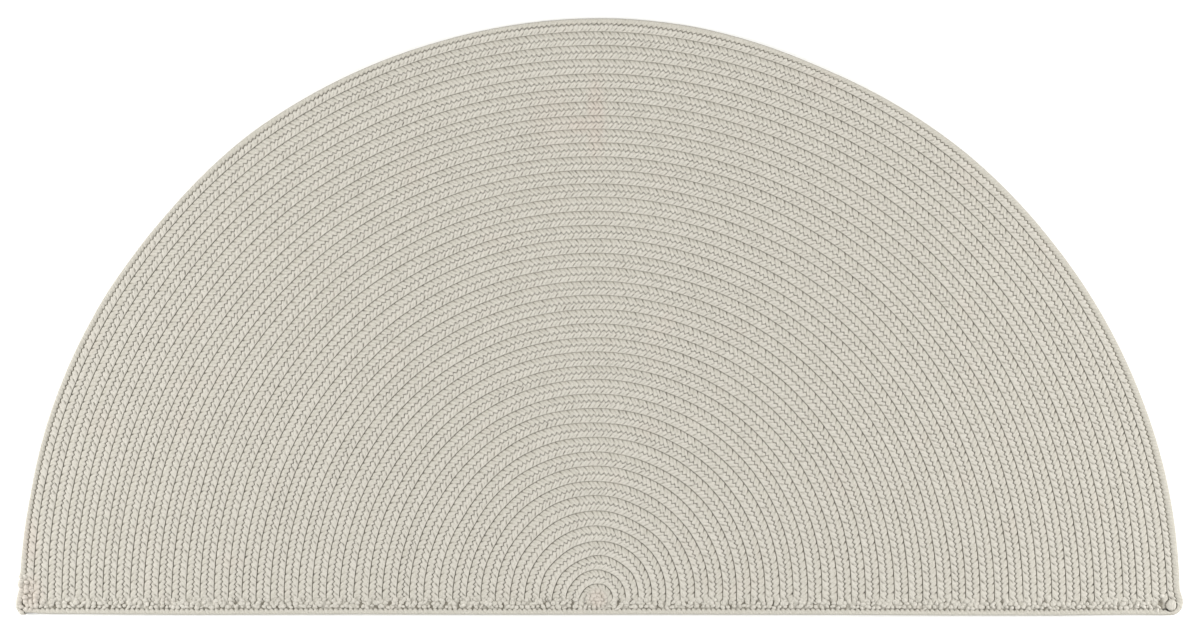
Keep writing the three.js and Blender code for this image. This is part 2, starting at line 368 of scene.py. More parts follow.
# two rows of strands on either side of a straight crease, half a strand out of step
plait = {
    "pitch": 8.84,           # from strand to strand along a row
    "spacing": [0, 0.08, 0.25, 0.5, 0.75, 0.92],         # points over one strand, from its groove
    "grooveShare": [1, 0.42, 0.06, 0.42, 0.06, 0.42],    # how deep they lie: two yarns to a strand
    "plyFade": 0.75,         # towards the feet of the turns the split between the two yarns is sunk less deep, and its painted shade and bump are fainter
    "notch": 2.45,           # between the rounded strand ends of the inner row
    "pit": 2.0,              # between the strands of the outer row
    "lean": 0.75,            # strands run slantwise away from the crease
    "wander": 0.26,          # a crease isn't a perfect arc
    "strandJitter": 0.06, "heightJitter": 0.06, "depthJitter": 0.13, "toneJitter": 0.1, "bend": 0.09,
    "ebb": 0.1, "ebbWaves": (90, 160, 300),  # grooves are slowly deeper and shallower along a turn
    "calmFirst": 0.35, "calmTurns": 9,       # the innermost turns are pulled smooth
    "lineOffset": 0.07,      # the drawn lines between the yarns sway to one side by this on average
    "fibreApart": 3.7,       # from turn to turn, so that no two show the same fibres
    # from the crease outwards, height, share of the groove's depth, how far a groove draws it back
    "rows": [(-4.3, 8.97, 0.15, 0), (-2.7, 8.98, 0.5, 0), (-1.1, 8.92, 0.95, 0.35),
             (-0.34, 8.1, 0.4, 0.4), (0, 5.6, 0, 0), (0.34, 8.3, 0.2, 0), (1.15, 8.95, 0.45, 0),
             (2.5, 8.97, 1, 0), (3.6, 9.0, 0.8, 0), (4.6, 8.97, 0.35, 0)],
    "toJoint": 1.3,          # from the last row to the joint
    "innerRowShade": -0.85,        # the inner row lies flatter and comes out paler under the side lights, so it carries painted shade
    # painted shade down in the crease, on its flanks and in the grooves, most at the feet of the turns,
    # where the side lights leave the creases in shadow
    "creaseBelow": 6, "creaseShade": 0.5, "creaseShadeFeet": 0.45,
    "flankBelow": 8.5, "flankShade": 0.24, "grooveShade": 0.19,
    "endMess": 11.0, "messOver": 5,          # the cut ends are dishevelled this far from the cut
    "messHeight": 7.2, "messRough": 0.4, "messShade": 0.14,       # under the tufts, with painted shade there
    "cutReach": 0.6, "cutDip": 0.9, "cutShade": 0.22,             # at the cut itself, with painted shade in its dip
}


# slow sideways drift of a turn's crease, at shares of the way round; a joint drifts with its turns
def wander(turn, share):
    draw = np.random.default_rng(900 + turn)
    drift = draw.normal(0, 0.15)
    for wave in range(1, 7):
        size = draw.normal(0, plait["wander"] / math.sqrt(wave))
        drift = drift + size * np.sin(2 * math.pi * (wave * share + draw.random()))
    return drift


# where the columns of one row stand along the turn, counted in strands
def strandColumns(strands, offset, draw):
    columns = len(plait["spacing"])
    edges = np.arange(-1, strands + 2) + offset + draw.normal(0, plait["strandJitter"], strands + 3)
    cell, inside = np.divmod(np.arange(strands * columns + 1) - int(offset * columns) + columns, columns)
    spacing = np.array(plait["spacing"])[inside]
    return edges[cell] + spacing * (edges[cell + 1] - edges[cell]), cell, inside


# how dishevelled the strands are so far from a cut
def messAt(ends):
    mess = np.clip((plait["endMess"] - ends) / plait["messOver"], 0, 1)
    return mess * mess * (3 - 2 * mess)


# slow rise and fall along a turn, about 1
def ebb(draw, at):
    value = 1
    for wave in plait["ebbWaves"]:
        size = plait["ebb"] * draw.normal(0, 0.6)
        value = value + size * np.sin(2 * math.pi * (at / wave + draw.random()))
    return np.clip(value, 0.35, 1.6)


# points of one turn's upper face: rows outwards, columns from the left cut to the right
def plaitTurn(turn):
    draw = np.random.default_rng(100 + turn)
    crease = coil["firstCrease"] + turn * coil["braidWidth"]
    length = turnLength(crease)
    strands = max(5, round(length / plait["pitch"]))
    pitch = length / strands
    calm = min(1, plait["calmFirst"] + turn / plait["calmTurns"])
    sides = {}
    for side, offset in ((-1, 0), (1, 0.5)):
        at, cell, inside = strandColumns(strands, offset, draw)
        deep = plait["notch"] if side < 0 else plait["pit"]
        depth = deep * draw.normal(1, plait["depthJitter"], strands + 3).clip(0.25, 1.6)
        slowly = ebb(draw, np.arange(strands + 3) * pitch)
        depth = depth * slowly * (calm if side > 0 else 1)
        height = draw.normal(0, plait["heightJitter"], strands + 3).clip(-0.4, 0.3)
        tone = draw.normal(plait["innerRowShade"] if side < 0 else 0, plait["toneJitter"], strands + 3)
        # a groove belongs to the two strands beside it
        nearest = cell + (inside > len(plait["spacing"]) // 2)
        sides[side] = {"at": at * pitch, "share": np.array(plait["grooveShare"])[inside],
                       "depth": depth[nearest], "height": height[cell], "tone": tone[cell],
                       "between": (inside == len(plait["spacing"]) // 2) * 1.0,
                       "strand": cell + np.array(plait["spacing"])[inside] - plait["lineOffset"]}
    sides[0] = {key: (sides[-1][key] + sides[1][key]) / 2 for key in sides[1]}
    columns = len(sides[0]["at"])
    rough = smoothNoise(draw, (len(plait["rows"]), columns))
    bend = draw.normal(0, plait["bend"], (len(plait["rows"]), columns))
    points, alongs, yarn, groove, tones, plies = [], [], [], [], [], []
    for row, (across, level, share, drawn) in enumerate(plait["rows"]):
        side = sides[int(np.sign(across))]
        ends = np.clip(np.minimum(side["at"], length - side["at"]), 0, None)
        along = side["at"] + plait["lean"] * abs(across) * np.clip(ends / 10, 0, 1)
        along[0], along[-1] = 0, length
        along = np.maximum.accumulate(np.clip(along, 0, length))
        radius = crease + wander(turn, along / length) + across - side["share"] * drawn + bend[row]
        x, y = onTurn(radius, along, crease)
        beside = x * x / (x * x + y * y)
        ply = 1 - plait["plyFade"] * beside
        sink = side["share"] * side["depth"] * share * np.where(side["between"] > 0.5, ply, 1)
        mess = np.maximum(messAt(ends), cornerMess(x, y))
        atCut = ends < plait["cutReach"]
        gap = tuckedGap(x, y)
        z = level + side["height"] * (level > 7) - sink
        ragged = plait["messHeight"] + plait["messRough"] * rough[row] - plait["cutDip"] * atCut
        z = z + mess * (ragged - z) - tuft["gapDepth"] * gap
        points.append(np.stack([x, y, z], -1))
        alongs.append(along / length)
        yarn.append(np.stack([side["strand"], np.full(columns, across),
                              np.full(columns, turn * plait["fibreApart"])], -1))
        # painted shade: the crease, its flanks and the grooves are darkened, more towards the feet; so
        # are the ground under the tufts, the cut and the gap round the tucked end
        onFlank = plait["creaseBelow"] < level < plait["flankBelow"]
        creaseShade = plait["creaseShade"] + plait["creaseShadeFeet"] * beside
        paintedShade = (level < plait["creaseBelow"]) * creaseShade + onFlank * plait["flankShade"] * beside
        paintedShade = np.clip(paintedShade + sink * plait["grooveShade"], 0, 1)
        messShade = plait["messShade"] + plait["cutShade"] * atCut
        groove.append(paintedShade * (1 - mess) + messShade * mess + tuft["gapShade"] * gap)
        tones.append(side["tone"])
        plies.append(ply)
    return {"points": np.array(points), "share": np.array(alongs), "yarn": np.array(yarn),
            "groove": np.array(groove), "tone": np.array(tones), "ply": np.array(plies)}


# machine zigzag stitch that draws two turns together
stitch = {
    "pitch": 5.2, "offset": -0.6, "swing": 1.4,
    "swingJitter": 0.15, "placeJitter": 0.05, "depthJitter": 0.2,
    "swingFade": 0.42,       # the zigzag is narrower towards the feet of the turns
    # from the joint outwards, height, share of the swing, shift along, sink at outer and inner hole
    "rows": [(-1.6, 8.97, 0.3, -0.8, -0.1, 0.45), (-0.37, 8.5, 0.95, -0.1, -0.1, 0.6),
             (0, 6.3, 1, 0, 1.2, 0.6), (0.37, 8.5, 0.95, -0.1, 0.7, -0.1),
             (1.9, 8.97, 0.4, -0.9, 0.3, 0)],
    "shadeRate": 0.3, "shadeMost": 0.95,           # painted shade down in a joint: how fast it deepens, and at most
    "shadeTop": 0.3, "shadeFeet": 1.55,        # painted shade at the top and at the feet of the turns, stronger at the feet, where the side lights leave the joints in shadow
    "holeReach": 0.25,       # an outer needle hole eats into the next turn
    "ply": 0.6,              # how far the two yarns of a strand show parted
}


def jointWander(joint, share):
    return (wander(joint, share) + wander(joint + 1, share)) / 2 + stitch["offset"]


def stitchSwing(x, y):
    return stitch["swing"] * (1 - stitch["swingFade"] * x * x / (x * x + y * y))


# points of one joint's upper face, four columns to a stitch: out, between, in, between
def stitchedJoint(joint):
    draw = np.random.default_rng(700 + joint)
    base = jointBase(joint)
    length = turnLength(base)
    stitches = max(3, round(length / stitch["pitch"]))
    step = np.arange(stitches * 4 + 1)
    at = step / 4 + draw.normal(0, stitch["placeJitter"], len(step))
    at[0], at[-1] = 0, stitches
    at = np.maximum.accumulate(at.clip(0, stitches)) * length / stitches
    side = np.array([1, 0, -1, 0])[step % 4]
    swing = stitchSwing(*onTurn(base, at, base)) * side
    swing = swing * draw.normal(1, stitch["swingJitter"], len(step)).clip(0.4, 1.5)
    depth = draw.normal(1, stitch["depthJitter"], len(step)).clip(0.2, 1.7)
    ends = np.minimum(at, length - at)
    points, alongs, yarn, groove = [], [], [], []
    for across, level, swings, shift, outSink, inSink in stitch["rows"]:
        along = at + shift * np.clip(ends / 6, 0, 1)
        along[0], along[-1] = 0, length
        along = np.maximum.accumulate(along.clip(0, length))
        radius = base + jointWander(joint, at / length) + across + swing * swings
        radius = radius + (side > 0) * (across > 0) * swings * stitch["holeReach"]
        x, y = onTurn(radius, along, base)
        mess = np.maximum(messAt(ends), cornerMess(x, y))
        z = level - depth * ((side > 0) * outSink + (side < 0) * inSink)
        if joint < 0:
            z = coreMound["height"] + coreMound["rim"] * depth
        z = z + mess * (plait["messHeight"] - z)
        points.append(np.stack([x, y, z], -1))
        alongs.append(along / length)
        yarn.append(np.stack([at / plait["pitch"], np.full(len(at), across),
                              np.full(len(at), joint * plait["fibreApart"])], -1))
        # painted shade down in the joint, deeper the lower the yarn lies and stronger at the feet of the
        # turns
        paintedShade = stitch["shadeTop"] + stitch["shadeFeet"] * x * x / (x * x + y * y)
        paintedShade = paintedShade * (joint >= 0)
        groove.append(np.clip((9 - z) * stitch["shadeRate"] * paintedShade, 0, stitch["shadeMost"]))
    return {"points": np.array(points), "share": np.array(alongs), "yarn": np.array(yarn),
            "groove": np.array(groove)}


# fuzzy mound of the bunched start, up to its innermost joint
coreMound = {
    "radii": [0, 2.4, 4.8, 7.0], "height": 7.6, "rim": 0.3, "rough": 0.4, "step": 1.4,
    # painted shade in the low places of the mound: how fast, and at most
    "shadeRate": 0.2, "shadeMost": 0.5, "underHeight": 0.4,
}


def coreGrid(radii, level, rough):
    draw = np.random.default_rng(31)
    base = coreMound["radii"][-1]
    length = turnLength(base)
    columns = 2 * round(length / coreMound["step"] / 2) + 1
    along = np.linspace(0, length, columns)
    lumps = smoothNoise(draw, (len(radii), columns))
    lumps[0] = lumps[0].mean()
    points = []
    for row, radius in enumerate(radii):
        x, y = onTurn(np.full(columns, float(radius)), along, base)
        points.append(np.stack([x, y, level + rough * lumps[row]], -1))
    share = np.tile(along / length, (len(radii), 1))
    yarn = np.array(points) * [1 / plait["pitch"], 1, 0]
    # painted shade where the lumps dip
    groove = np.clip(-lumps * coreMound["shadeRate"], 0, coreMound["shadeMost"])
    return {"points": np.array(points), "share": share, "yarn": yarn, "groove": groove}


# underside: plainer, with the same creases and joints
underside = {
    "step": 14.0,
    # from the crease outwards, height
    "rows": [(-5.9, 0.9), (-3.3, 0), (0, 0.8), (4.0, 0), (7.4, 0.9)],
    "jointHeight": 1.3,
}


# points of one turn's lower face
def undersideTurn(turn, isFirst, isLast):
    crease = coil["firstCrease"] + turn * coil["braidWidth"]
    length = turnLength(crease)
    rows = list(underside["rows"])
    if isFirst:
        rows[0] = (jointBase(turn - 1) - crease, underside["jointHeight"])
    if isLast:
        rows[-1] = (jointBase(turn) - crease, underside["jointHeight"])
    along = np.linspace(0, length, max(8, round(length / underside["step"])))
    points = []
    for across, level in rows:
        x, y = onTurn(np.full(len(along), crease + across), along, crease)
        points.append(np.stack([x, y, np.full(len(along), float(level))], -1))
    points = np.array(points)
    share = np.tile(along / length, (len(rows), 1))
    return {"points": points, "share": share, "yarn": points * [1 / plait["pitch"], 1, 0],
            "groove": np.zeros(points.shape[:2])}


# the cut ends of the strands, pressed into tufts along the straight side
tuft = {
    "segments": 10,
    # share of the half width, share of the rise
    "profile": [(0.8, -0.5), (1, 0), (0.95, 0.5), (0.68, 0.9)],
    "foot": 6.5, "rise": 2.3, "riseJitter": 0.3, "sizeJitter": 0.18, "toneJitter": 0.3, "uneven": 0.07,
    "lines": 1.5, "ply": 0.7,                # yarns drawn on a tuft: how much slimmer, how far parted
    # painted shade towards the foot of each tuft: below which height, how fast, and at most
    "shadeBelow": 8.2, "shadeRate": 0.16, "shadeMost": 0.32,
    # ragged rows: above the cut, spacing along it, half width, half depth
    "rows": [(2.6, 5.4, 2.9, 2.0), (6.1, 6.0, 3.1, 2.6), (9.5, 8.2, 2.9, 2.8)],
    "rowsFrom": -580, "rowsTo": 590, "spacingJitter": 0.22, "aboveJitter": 0.6,
    # bunched core: radius, number, half width
    "core": [(1.5, 2, 2.7), (5.4, 5, 2.6), (9.6, 8, 2.6)],
    "coreRise": 0.2,
    # left corner: half width, spacing, how far in it reaches, where it starts and ends
    "corner": {"wide": 3.1, "spacing": 5.0, "left": -602.0, "right": -582.0, "slant": 0.36,
               "slantFrom": -7, "lowInset": 7, "low": -10.4, "high": 27.0, "rise": 0.8,
               "fadeIn": 6, "over": 2, "fadeUp": 10},
    # a few stand out paler than the rest
    "fluff": [(-586, -4.7), (-470, -3.7), (-443, -6.8), (-139, -4.7), (-111, -3.7), (22, -8.4),
              (566, -4.9), (573, -6.8), (587, -10.4), (592, 4.6)],
    "fluffWide": 2.3, "fluffDeep": 2.6, "fluffRise": 0.7, "fluffPale": 1.2,
    # the braid's tucked end in the right corner: middle, half width, half depth, turn in degrees
    "tuckedEnd": (601.7, -4.9, 5.5, 6.6, -8),
    # the tucked end stands higher, with stronger painted shade towards its foot
    "tuckedRise": 0.6, "tuckedShade": 0.3, "tuckedShadeMost": 0.55,
    "gapAt": 1.1, "gapWidth": 0.17, "gapDepth": 1.3, "gapShade": 0.22,        # gap round it: where, how wide, how deep, and its painted shade
}


# the left corner is worn to a fuzzy patch
def cornerMess(x, y):
    corner = tuft["corner"]
    right = corner["right"] - corner["slant"] * np.maximum(y - corner["slantFrom"], 0)
    inX = np.clip((right - x) / corner["fadeIn"], 0, 1)
    return inX * np.clip((corner["high"] + corner["over"] - y) / corner["fadeUp"], 0, 1)


# gap round the braid's tucked end, sunk and darkened with painted shade
def tuckedGap(x, y):
    middleX, middleY, wide, deep, _ = tuft["tuckedEnd"]
    far = np.hypot((x - middleX) / wide, (y - middleY) / deep)
    return np.exp(-((far - tuft["gapAt"]) / tuft["gapWidth"]) ** 2)


# middle, half width, half depth, turn in degrees, rise, paleness
def tuftPlaces():
    draw = np.random.default_rng(41)
    places = []

    def add(x, y, wide, deep, spread, rise=0.0, pale=0.0):
        places.append((x, y, draw.normal(wide, wide * tuft["sizeJitter"]),
                       draw.normal(deep, deep * tuft["sizeJitter"]), draw.uniform(-spread, spread),
                       tuft["rise"] + rise + draw.normal(0, tuft["riseJitter"]),
                       draw.normal(pale, tuft["toneJitter"])))

    for above, spacing, wide, deep in tuft["rows"]:
        for x in np.arange(tuft["rowsFrom"], tuft["rowsTo"], spacing):
            x = x + draw.normal(0, spacing * tuft["spacingJitter"])
            add(x, cutLine(x) + draw.normal(above, tuft["aboveJitter"]), wide, deep, 60)
    for radius, count, wide in tuft["core"]:
        for step in range(count):
            angle = math.pi * (step + 0.5 + draw.normal(0, 0.2)) / count
            add(radius * math.cos(angle), radius * math.sin(angle), wide, wide, 90, tuft["coreRise"])
    corner = tuft["corner"]
    for y in np.arange(corner["low"], corner["high"], corner["spacing"]):
        upward = y - corner["slantFrom"]
        right = corner["right"] - (corner["slant"] * upward if upward > 0 else corner["lowInset"])
        for x in np.arange(corner["left"], right, corner["spacing"]):
            add(x + draw.normal(0, 1.0), y + draw.normal(0, 0.8), corner["wide"], corner["wide"], 90,
                corner["rise"])
    for x, y in tuft["fluff"]:
        add(x, y, tuft["fluffWide"], tuft["fluffDeep"], 60, tuft["fluffRise"], tuft["fluffPale"])
    places.append((*tuft["tuckedEnd"], tuft["rise"] + tuft["tuckedRise"], 0.0))
    return places


def cutEndTufts(name, material):
    draw = np.random.default_rng(42)
    segments = tuft["segments"]
    wideness, highness = np.array(tuft["profile"]).T
    around = np.arange(segments) / segments * 2 * math.pi
    points, yarn, groove, tone, faces, count = [], [], [], [], [], 0
    tufts = tuftPlaces()
    for number, (x, y, wide, deep, turned, rise, pale) in enumerate(tufts):
        bumpy = 1 + draw.normal(0, tuft["uneven"], (len(wideness), segments)) * min(1, 3 / wide)
        localX = wideness[:, None] * np.cos(around) * wide * bumpy
        localY = wideness[:, None] * np.sin(around) * deep * bumpy
        z = tuft["foot"] + highness[:, None] * rise * (1 + (bumpy - 1) * 0.5)
        localX = np.concatenate([[0], localX.ravel(), [0]])
        localY = np.concatenate([[0], localY.ravel(), [0]])
        z = np.concatenate([[z.min()], z.ravel(), [tuft["foot"] + rise]])
        cos, sin = math.cos(math.radians(turned)), math.sin(math.radians(turned))
        points.append(np.stack([x + localX * cos - localY * sin, y + localX * sin + localY * cos, z], 1))
        yarn.append(np.stack([localX * tuft["lines"] / plait["pitch"] + 0.1, localY,
                              np.full(len(z), number * 1.9)], 1))
        # painted shade towards the foot of each tuft, stronger on the tucked end
        if number == len(tufts) - 1:
            paintedShade = np.clip((tuft["shadeBelow"] - z) * tuft["tuckedShade"], 0, tuft["tuckedShadeMost"])
        else:
            paintedShade = np.clip((tuft["shadeBelow"] - z) * tuft["shadeRate"], 0, tuft["shadeMost"])
        groove.append(paintedShade)
        tone.append(np.full(len(z), pale))
        index = count + 1 + np.arange(wideness.size * segments).reshape(wideness.size, segments)
        index = np.concatenate([index, index[:, :1]], 1)
        faces.append(splitQuads(gridQuads(index)))
        bottom = np.full(segments, count)
        faces.append(np.stack([bottom, index[0, 1:], index[0, :-1]], 1))
        faces.append(np.stack([bottom + len(z) - 1, index[-1, :-1], index[-1, 1:]], 1))
        count += len(z)
    points = np.concatenate(points)
    return pieceFromArrays(name, points, [], np.concatenate(faces),
                           {"yarn": np.concatenate(yarn), "groove": np.concatenate(groove),
                            "tone": np.concatenate(tone), "ply": np.full(count, tuft["ply"]),
                            "blush": blushAt(points)}, material)


# one closed sheet of several turns, from joint to joint
def sewnBand(name, first, last, material):
    top, under = [], []
    for turn in range(first, last + 1):
        joint = stitchedJoint(turn - 1)
        if turn == first and turn > 0:
            joint = {key: values[2:] for key, values in joint.items()}
        if turn == 0:
            top.append(coreGrid(coreMound["radii"], coreMound["height"], coreMound["rough"]))
            under.append(coreGrid([0, coreMound["radii"][-1]], coreMound["underHeight"], 0))
        plaited = plaitTurn(turn)
        # the yarns run on up to the joints on either side
        shift = plait["lean"] * plait["toJoint"] / turnLength(jointBase(turn))
        joint["yarn"][-2:, :, 0] = np.interp(joint["share"][-2:] - shift, plaited["share"][0],
                                             plaited["yarn"][0, :, 0])
        joint["yarn"][-2:, :, 1] -= coil["innerRow"]
        joint["yarn"][-2:, :, 2] = plaited["yarn"][0, 0, 2]
        if turn > first:
            joint["yarn"][:2, :, 0] = np.interp(joint["share"][:2] - shift, top[-1]["share"][-1],
                                                top[-1]["yarn"][-1, :, 0])
            joint["yarn"][:2, :, 1] += coil["braidWidth"] - coil["innerRow"]
            joint["yarn"][:2, :, 2] = top[-1]["yarn"][-1, 0, 2]
            joint["yarn"][2] = joint["yarn"][1]
        top += [joint, plaited]
        under.append(undersideTurn(turn, turn == first and turn > 0, turn == last))
    joint = {key: values[:3] for key, values in stitchedJoint(last).items()}
    joint["yarn"][:, :, 0] = np.interp(joint["share"], top[-1]["share"][-1], top[-1]["yarn"][-1, :, 0])
    joint["yarn"][:, :, 1] += coil["braidWidth"] - coil["innerRow"]
    joint["yarn"][:, :, 2] = top[-1]["yarn"][-1, 0, 2]
    top.append(joint)

    quads, triangles, count = [], [], 0
    indexes = []
    for grids, isTop in ((top, True), (under, False)):
        laid = []
        for grid in grids:
            rows, columns = grid["points"].shape[:2]
            index = count + np.arange(rows * columns).reshape(rows, columns)
            count += index.size
            faces = gridQuads(index)
            if np.allclose(grid["points"][0, :, 0], 0):      # the two feet of the middle row are one
                places = grid["points"][0].round(3)
                _, firstAt, same = np.unique(places, axis=0, return_index=True, return_inverse=True)
                index[0] = index[0][firstAt[same.ravel()]]
                faces = splitQuads(gridQuads(index))
            faces = faces if isTop else faces[:, ::-1]
            (quads if faces.shape[1] == 4 else triangles).append(faces)
            laid.append(index)
        for inner, outer, innerGrid, outerGrid in zip(laid[:-1], laid[1:], grids[:-1], grids[1:]):
            seam = zipRows(inner[-1], innerGrid["share"][-1], outer[0], outerGrid["share"][0])
            triangles.append(seam if isTop else seam[:, ::-1])
        indexes.append(laid)
    # walls along the outermost and innermost joint, and at the two cuts
    upper, lower = indexes
    triangles.append(zipRows(upper[-1][-1], top[-1]["share"][-1], lower[-1][-1], under[-1]["share"][-1]))
    if first > 0:
        wall = zipRows(upper[0][0], top[0]["share"][0], lower[0][0], under[0]["share"][0])
        triangles.append(wall[:, ::-1])
    for column, flip in ((0, False), (-1, True)):
        ends = [np.concatenate([index[:, column] for index in laid]) for laid in indexes]
        reach = [np.abs(np.concatenate([grid["points"][:, column, 0] for grid in grids]))
                 for grids in (top, under)]
        wall = zipRows(ends[0], reach[0], ends[1], reach[1])
        triangles.append(wall if flip else wall[:, ::-1])
    for grid in top + under:
        grid.setdefault("tone", np.zeros(grid["groove"].shape))
        grid.setdefault("ply", np.full(grid["groove"].shape, stitch["ply"]))
    gathered = {}
    for key in ("points", "yarn", "groove", "tone", "ply"):
        gathered[key] = np.concatenate([grid[key].reshape(-1, *grid[key].shape[2:])
                                        for grid in top + under])
    faces = np.concatenate(triangles)
    a, b, c = faces.T
    faces = faces[(a != b) & (b != c) & (c != a)]
    # the merged points of the middle row leave none loose
    used = np.unique(np.concatenate([faces.ravel(), np.concatenate(quads).ravel()]))
    renumber = np.full(count, -1)
    renumber[used] = np.arange(len(used))
    places = gathered["points"][used]
    return pieceFromArrays(name, places, renumber[np.concatenate(quads)], renumber[faces],
                           {"yarn": gathered["yarn"][used], "groove": gathered["groove"][used],
                            "tone": gathered["tone"][used], "ply": gathered["ply"][used],
                            "blush": blushAt(places)}, material)


# bands of turns, from the core to the rim; each is laid flat
bands = [("sewn_turns_core", 0, 17), ("sewn_turns_inner", 18, 24), ("sewn_turns_middle", 25, 30),
         ("sewn_turns_outer", 31, 35), ("sewn_turns_rim", 36, 39)]
braidYarn = yarnMaterial("heathered_spun_yarn", yarnLook)
bandPieces = []
for name, first, last in bands:
    bandPieces.append(sewnBand(name, first, last, braidYarn))
print("plait laid")

# slim strip of yarn along the rim, held by the same zigzag stitch
strip = {
    "lines": 0.34,           # depth of the lines that the stitches draw across it
    "lean": 0.55, "leanFrom": 0.1,
    "heightJitter": 0.12, "holeJitter": 0.3,
    # place along the straight side, share of the full width
    "narrowing": [(-640, 0.55), (-594, 0.66), (-588, 0.7), (-584, 0.8), (-574, 0.86), (-500, 0.9),
                  (560, 0.9), (600, 1)],
    # degrees from +X, how much wider it is there
    "widening": [(0, 2.2), (12, 2.0), (20, 1.1), (35, 1.0), (50, 1.2), (66, -1.2), (80, 0.4),
                 (92, -0.7), (106, -2.0), (120, -1.4), (128, -0.6), (138, -2.0), (148, -0.8),
                 (158, -1.3), (170, -2.2), (180, 0.3)],
    "swingFrom": 20, "swingOver": 15,        # the zigzag of the arc sets in above the left corner
    # the seam is moved out at the left foot and past the right corner
    "footOut": 2.4, "lowOut": 2.6, "outFade": 7,
    "cornerOut": (2.8, 3.2), "cornerSteps": 14, "pastCorner": 1.3,
    "seamFrom": -583.0,      # the zigzag of the straight side starts here
    "lowSwing": 0.7, "lowShift": 0.35,
    "arcHoles": 0.9, "lowHoles": 1.6, "lowBetween": 0.7,
    "tone": -0.9,            # painted shade over the whole strip, which comes out darker than the braid
    "yarns": 0.75, "ply": 0.7,
    # painted shade down in the seam, in its needle holes and on the outer side
    "shadeBelow": 8.4, "shadeRate": 0.17, "shadeMost": 0.5, "lowShade": 0.6, "dotShade": 0.75,
    "rimFrom": 0.88, "rimShade": 5, "rimShadeMost": 0.6,
    # loose lower end on the left: place, the way out, width, how far the seam has moved out
    "end": [(-597.4, -15.0, -0.6, -0.8, 0.5, 0), (-598.4, -14.2, -0.8, -0.6, 3.0, 0),
            (-599.4, -12.8, -0.93, -0.37, 4.4, 0.4), (-600.0, -11.2, -1, -0.1, 5.3, 1.2),
            (-600.3, -9.6, -1, 0, 6.2, 2.0)],
    # share of the width outwards, height, shares of the swing, of the lines and of the needle holes
    "section": [(-0.03, 6.4, 1, 0, 0.8), (0.09, 8.0, 0.8, 0.4, 0.6), (0.28, 8.75, 0.3, 1, 0.15),
                (0.55, 9.0, 0, 1, 0), (0.8, 8.85, 0, 1, 0), (0.94, 8.2, 0, 0.8, 0),
                (1.0, 6.4, 0, 0.5, 0), (0.99, 2.4, 0, 0.3, 0), (0.86, 0.2, 0, 0, 0),
                (0.15, 0, 0, 0, 0), (-0.08, 2.0, 0, 0, 0)],
}


# stations of the strip: place on the rim, the way out, width, swing and side of the stitch, lean
def stripCourse():
    radius = coil["bodyRadius"]
    length = turnLength(radius)
    foot = coil["cutBelow"] + fromTable("turnLift", radius)
    stitches = round(length / stitch["pitch"])
    along = np.arange(stitches * 4 + 1) / 4 * length / stitches
    side = np.array([1, 0, -1, 0])[np.arange(len(along)) % 4]
    keep = along < length - 0.5
    along, arcSide = along[keep], side[keep]
    x, y = onTurn(radius, along, radius, shifted=False)
    angle = np.clip(math.pi - (along - foot) / radius, 0, math.pi)
    drift = jointWander(coil["turns"] - 1, along / length) + turnShift(radius, np.degrees(angle))
    drift = drift + strip["footOut"] * np.exp(-(along / strip["outFade"]) ** 2)
    setIn = np.clip((along - strip["swingFrom"]) / strip["swingOver"], 0, 1)
    swing = arcSide * setIn * stitchSwing(x, y) + drift
    arc = [np.stack([x, y], 1), np.stack([np.cos(angle), np.sin(angle)], 1), swing]
    end = np.array(strip["end"])
    foots = [end[:, :2], end[:, 2:4], end[:, 5]]
    rightX = onTurn(radius, np.array([length]), radius, shifted=False)[0][0]
    cornerX, cornerY = rightX - coil["cornerRound"], cutLine(rightX) + coil["cornerRound"]
    turned = np.linspace(0, math.pi / 2, strip["cornerSteps"])
    out = np.stack([np.cos(turned), -np.sin(turned)], 1)
    cornerSwing = np.linspace(*strip["cornerOut"], strip["cornerSteps"])
    corner = [np.array([cornerX, cornerY]) + coil["cornerRound"] * out, out, cornerSwing]
    straight = np.arange(cornerX - strip["pastCorner"], x[0], -stitch["pitch"] / 4)
    side = np.array([1, 0, -1, 0])[np.arange(len(straight)) % 4]
    swing = (side * strip["lowSwing"] - strip["lowShift"]) * (straight > strip["seamFrom"])
    swing = swing + strip["lowOut"] * np.exp(-((cornerX - straight) / strip["outFade"]) ** 2)
    low = [np.stack([straight, cutLine(straight)], 1), np.tile([0.0, -1.0], (len(straight), 1)), swing]
    places, outs, swing = (np.concatenate(parts) for parts in zip(foots, arc, corner, low))
    sides = np.concatenate([np.zeros(len(end)), arcSide, np.zeros(len(turned)), side])
    lean = np.concatenate([np.ones(len(end) + len(along)), np.linspace(1, -1, len(turned)),
                           np.full(len(straight), -1)]) * strip["lean"]
    narrowing = np.array(strip["narrowing"])
    isLow = outs[:, 1] < -0.99
    width = np.where(isLow, np.interp(places[:, 0], narrowing[:, 0], narrowing[:, 1]), 1)
    width = width * (coil["edgeWidth"] + coil["sewingGap"])
    widening = np.array(strip["widening"])
    width[len(end):len(end) + len(along)] += np.interp(np.degrees(angle), widening[:, 0], widening[:, 1])
    width[len(end) + len(along):][:len(turned)] += np.linspace(widening[0, 1], 0, len(turned))
    width[:len(end)] = end[:, 4]
    return places, outs, width, swing, sides, lean, isLow


